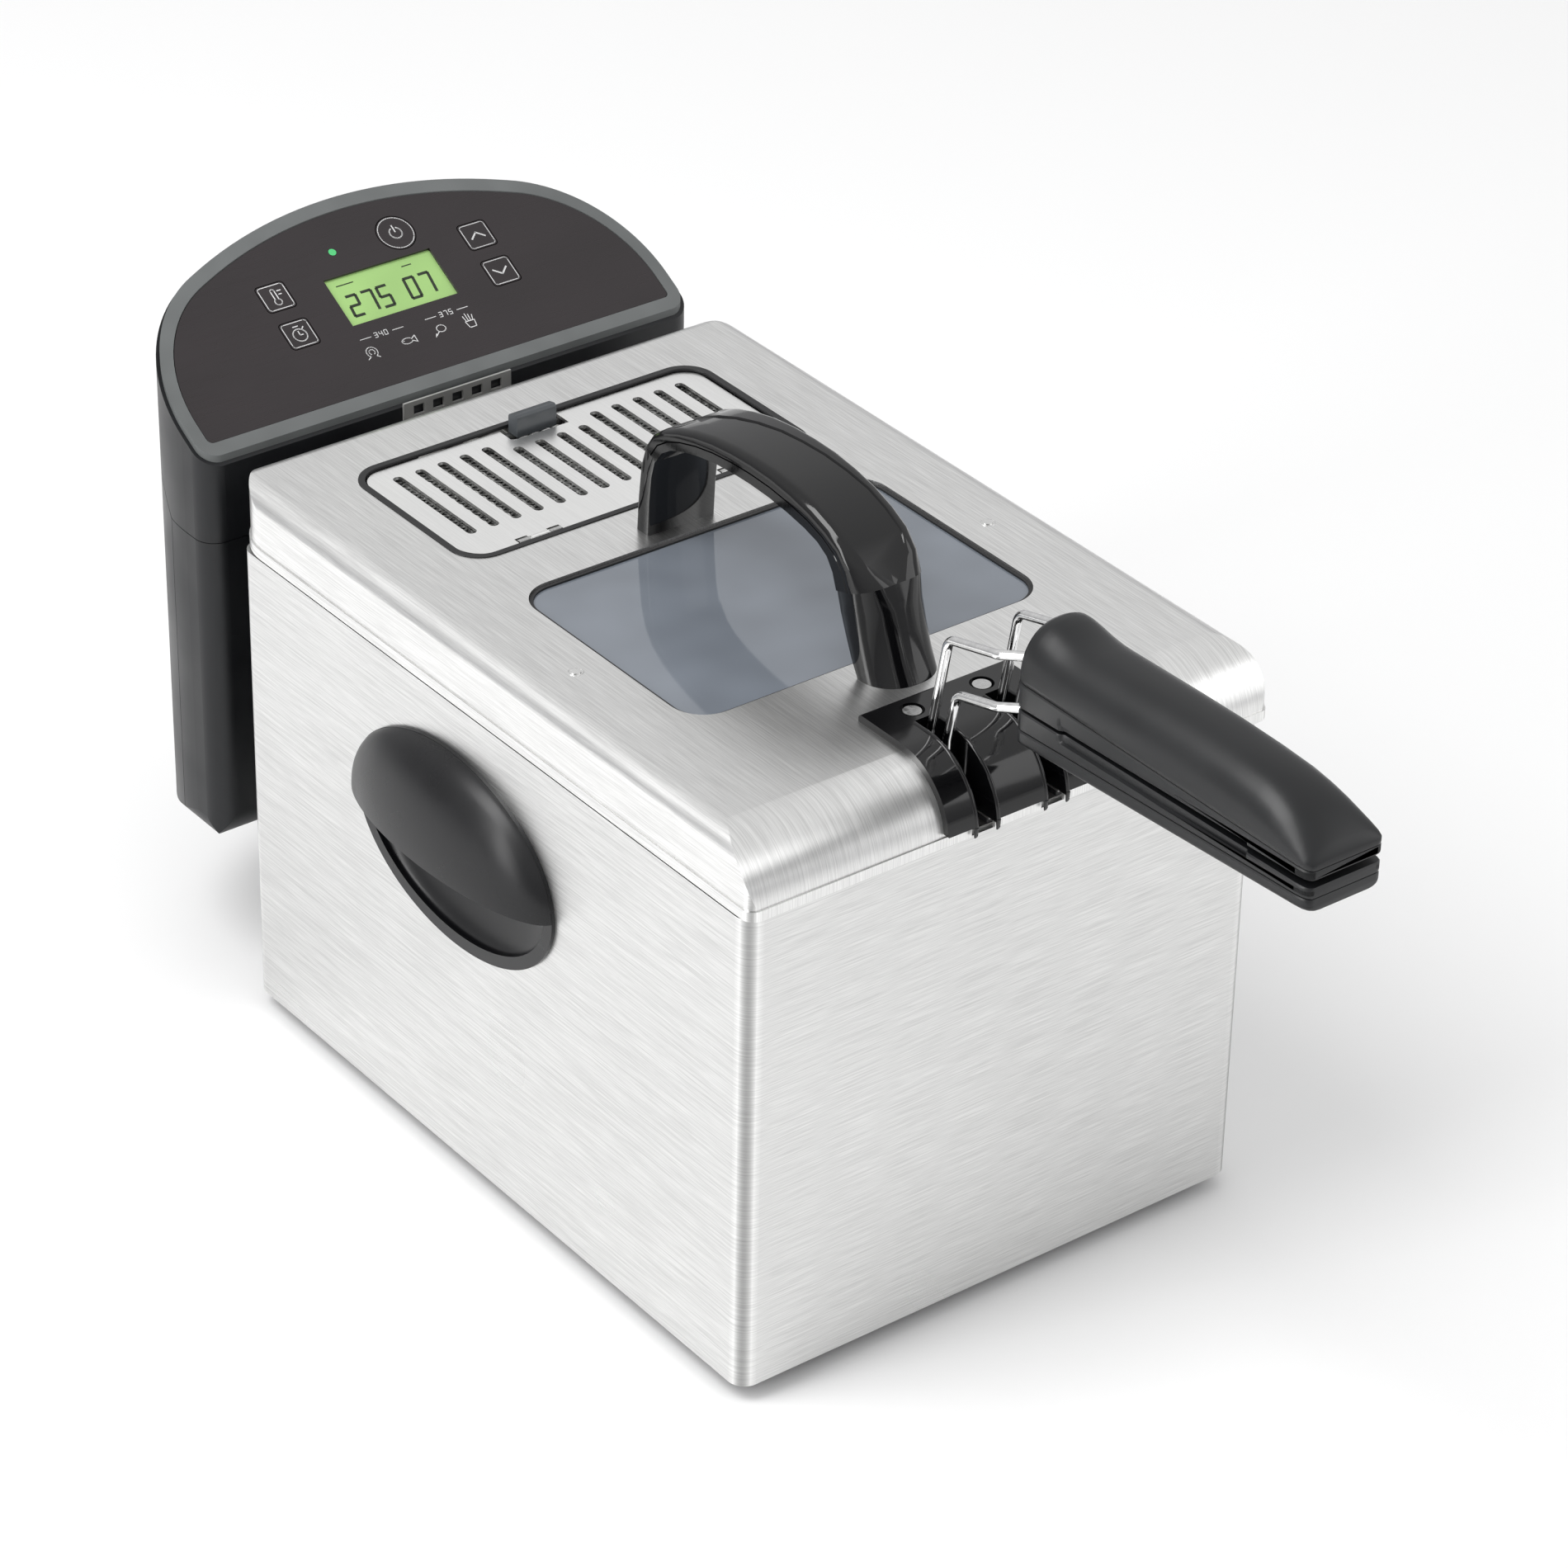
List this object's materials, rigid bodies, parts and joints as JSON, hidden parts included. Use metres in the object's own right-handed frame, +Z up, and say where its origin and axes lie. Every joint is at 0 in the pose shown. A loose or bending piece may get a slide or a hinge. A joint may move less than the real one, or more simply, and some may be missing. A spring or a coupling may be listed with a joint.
{
  "type": "deep fryer",
  "caption": "Household deep fryer with a stainless housing and windowed lift-off lid, a basket with a squeeze handle, and a tilted digital control panel at the back.",
  "frame": {"origin": "centre of the whole part's bounding box in X and Y, on the surface under the feet", "axes": "+Z up, +Y from the basket's handle toward the control unit at the back, +X to the right when facing the handle end from the front"},
  "size_m": [0.266, 0.594, 0.297],
  "materials": {
    "brushed_housing": "brushed",
    "brushed_lid": "brushed",
    "inner_steel": "satin",
    "base_sheet": "satin",
    "foot_rubber": "matte",
    "seal_rubber": "satin",
    "handle_black": "satin",
    "grip_black": "satin",
    "tower_black": "satin",
    "gloss_black": "gloss",
    "bezel_grey": "satin",
    "panel_film": "gloss",
    "display_glass": "gloss",
    "lamp_green": "gloss",
    "key_grey": "satin",
    "key_cream": "satin",
    "wire_chrome": "polished",
    "basket_wire": "satin",
    "vent_plate": "polished",
    "bracket_chrome": "polished",
    "element_tube": "satin",
    "window_glass": "gloss",
    "screw_steel": "satin",
    "mesh_steel": "satin",
    "charcoal_felt": "matte",
    "board_green": "satin",
    "switch_grey": "satin",
    "pin_brass": "satin",
    "button_red": "satin"
  },
  "bodies": {
    "cabinet": {"housing_shell": "brushed_housing", "base_plate": "base_sheet", "rubber_feet": "foot_rubber", "oil_pot": "inner_steel", "side_handle_left": "handle_black", "side_handle_right": "handle_black", "guide_rails": "tower_black", "head_shell": "tower_black", "panel_bezel": "bezel_grey", "panel_overlay": "panel_film", "lcd_display": "display_glass", "ready_lamp": "lamp_green", "circuit_board": "board_green", "key_switches": "switch_grey", "tower_front_shell": "tower_black", "tower_rear_cover": "tower_black", "rear_cover_screws": "screw_steel", "heating_element": "element_tube", "temperature_probe": "element_tube", "element_bracket": "bracket_chrome", "power_inlet": "switch_grey", "inlet_pins": "pin_brass", "thermal_cutout": "switch_grey", "power_board": "board_green", "safety_switch": "switch_grey"},
    "lid": {"lid_shell": "brushed_lid", "lid_inner_pan": "inner_steel", "window_collar": "inner_steel", "lid_gasket": "seal_rubber", "window_glass": "window_glass", "window_gasket": "seal_rubber", "lid_handle_base": "gloss_black", "lid_handle_cover": "gloss_black", "lid_handle_screws": "screw_steel", "front_saddle": "gloss_black", "saddle_screws": "screw_steel", "vent_gasket": "seal_rubber", "filter_frame": "inner_steel", "vent_hinge_pins": "screw_steel", "mesh_filter": "mesh_steel", "charcoal_filter": "charcoal_felt", "lid_rivets": "brushed_lid"},
    "vent_cover": {"vent_cover": "vent_plate"},
    "vent_latch": {"vent_latch": "key_grey"},
    "basket": {"basket_mesh": "basket_wire", "basket_rim": "basket_wire", "pivot_bar": "wire_chrome", "upper_wires": "wire_chrome", "grip_upper_cover": "grip_black", "grip_upper_base": "grip_black", "grip_screws": "screw_steel"},
    "squeeze_lever": {"lower_wires": "wire_chrome", "grip_lower_inner": "grip_black", "grip_lower_outer": "grip_black"},
    "start_key": {"key_start": "key_cream"},
    "up_key": {"key_up": "key_grey"},
    "down_key": {"key_down": "key_grey"},
    "temp_key": {"key_set_temp": "key_grey"},
    "timer_key": {"key_timer": "key_grey"},
    "reset": {"reset_button": "button_red"}
  },
  "joints": [
    {"name": "lid_lift", "type": "slide", "parent": "cabinet", "child": "lid", "axis": [0, 0, 1], "range_m": [0, 0.2]},
    {"name": "basket_lift", "type": "slide", "parent": "cabinet", "child": "basket", "axis": [0, 0, 1], "range_m": [0, 0.042]},
    {"name": "grip_squeeze", "type": "hinge", "parent": "basket", "child": "squeeze_lever", "pos_m": [0, -0.1058, 0.15], "axis": [-1, 0, 0], "range_deg": [0, 0.8], "stiffness_Nm_per_rad": 60},
    {"name": "vent_hinge", "type": "hinge", "parent": "lid", "child": "vent_cover", "pos_m": [0, 0.0884, 0.2316], "axis": [1, 0, 0], "range_deg": [0, 85]},
    {"name": "vent_latch_slide", "type": "slide", "parent": "lid", "child": "vent_latch", "axis": [0, -1, 0], "range_m": [0, 0.002], "stiffness_N_per_m": 400},
    {"name": "start_key_press", "type": "slide", "parent": "cabinet", "child": "start_key", "axis": [0, 0.4772, -0.8788], "range_m": [0, 0.0004], "stiffness_N_per_m": 900},
    {"name": "up_key_press", "type": "slide", "parent": "cabinet", "child": "up_key", "axis": [0, 0.4772, -0.8788], "range_m": [0, 0.0004], "stiffness_N_per_m": 900},
    {"name": "down_key_press", "type": "slide", "parent": "cabinet", "child": "down_key", "axis": [0, 0.4772, -0.8788], "range_m": [0, 0.0004], "stiffness_N_per_m": 900},
    {"name": "temp_key_press", "type": "slide", "parent": "cabinet", "child": "temp_key", "axis": [0, 0.4772, -0.8788], "range_m": [0, 0.0004], "stiffness_N_per_m": 900},
    {"name": "timer_key_press", "type": "slide", "parent": "cabinet", "child": "timer_key", "axis": [0, 0.4772, -0.8788], "range_m": [0, 0.0004], "stiffness_N_per_m": 900},
    {"name": "reset_press", "type": "slide", "parent": "cabinet", "child": "reset", "axis": [0, -1, 0], "range_m": [0, 0.0015], "stiffness_N_per_m": 800}
  ]
}
